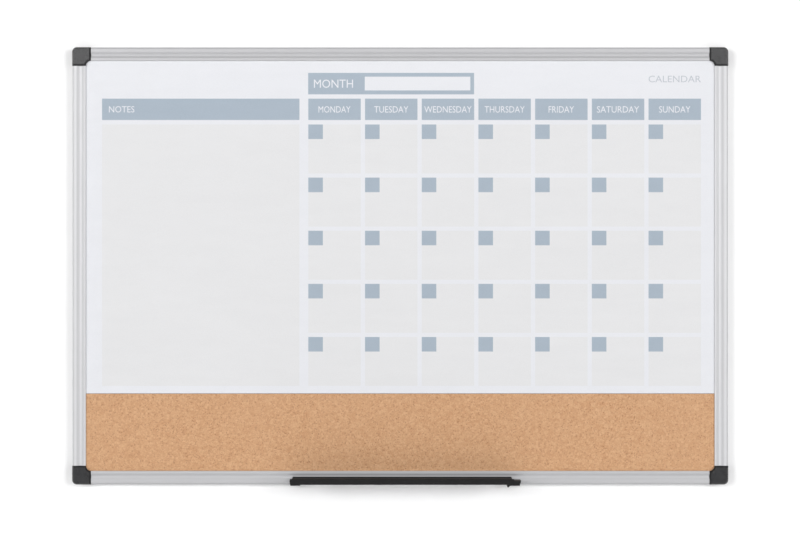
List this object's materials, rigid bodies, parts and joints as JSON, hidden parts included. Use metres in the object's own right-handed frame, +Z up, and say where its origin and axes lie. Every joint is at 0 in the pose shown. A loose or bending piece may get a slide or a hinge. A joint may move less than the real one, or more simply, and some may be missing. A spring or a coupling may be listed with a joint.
{
  "type": "combination dry-erase planner and cork bulletin board",
  "caption": "Wall-mounted board: dry-erase monthly planner above a cork strip, aluminium frame, black moulded corners, black clip-on pen tray that slides along the bottom rail.",
  "frame": {"origin": "centre of the four wall-screw holes, on the plane of the wall; also the frame's centre seen from the front", "axes": "+X along the frame's width, to the right as a reader sees it; +Z up the board; the printed and cork faces look towards -Y and the wall is on the +Y side, at y = 0"},
  "size_m": [0.9, 0.0645, 0.6036],
  "materials": {
    "rail_aluminium": "satin natural anodised extrusion, fine draw lines along its length",
    "block_plastic": "moulded black ABS, fine texture",
    "cap_plastic": "moulded black ABS, satin",
    "writing_steel": "gloss white lacquer with a printed blue-grey monthly planner",
    "cork": "natural fine-grain cork, unsealed",
    "fibre_core": "raw fibreboard",
    "backing_steel": "galvanised sheet, matt",
    "tray_plastic": "extruded black plastic, satin",
    "clip_plastic": "moulded black plastic, satin"
  },
  "bodies": {
    "board": {"rail_bottom": "rail_aluminium", "rail_right": "rail_aluminium", "rail_top": "rail_aluminium", "rail_left": "rail_aluminium", "corner_block_bottom_left": "block_plastic", "corner_block_bottom_right": "block_plastic", "corner_block_top_right": "block_plastic", "corner_block_top_left": "block_plastic", "writing_sheet": "writing_steel", "core_board_upper": "fibre_core", "cork_strip": "cork", "core_board_lower": "fibre_core", "backing_sheet": "backing_steel"},
    "tray": {"tray_ledge": "tray_plastic", "tray_clip_left": "clip_plastic", "tray_clip_right": "clip_plastic"},
    "cap_bottom_left": {"corner_cap_bottom_left": "cap_plastic"},
    "cap_bottom_right": {"corner_cap_bottom_right": "cap_plastic"},
    "cap_top_right": {"corner_cap_top_right": "cap_plastic"},
    "cap_top_left": {"corner_cap_top_left": "cap_plastic"}
  },
  "joints": [
    {"name": "tray_slide", "type": "slide", "parent": "board", "child": "tray", "axis": [1, 0, 0], "range_m": [-0.273, 0.259]},
    {"name": "cap_bottom_left_pull", "type": "slide", "parent": "board", "child": "cap_bottom_left", "axis": [0, -1, 0], "range_m": [0, 0.02]},
    {"name": "cap_bottom_right_pull", "type": "slide", "parent": "board", "child": "cap_bottom_right", "axis": [0, -1, 0], "range_m": [0, 0.02]},
    {"name": "cap_top_right_pull", "type": "slide", "parent": "board", "child": "cap_top_right", "axis": [0, -1, 0], "range_m": [0, 0.02]},
    {"name": "cap_top_left_pull", "type": "slide", "parent": "board", "child": "cap_top_left", "axis": [0, -1, 0], "range_m": [0, 0.02]}
  ]
}
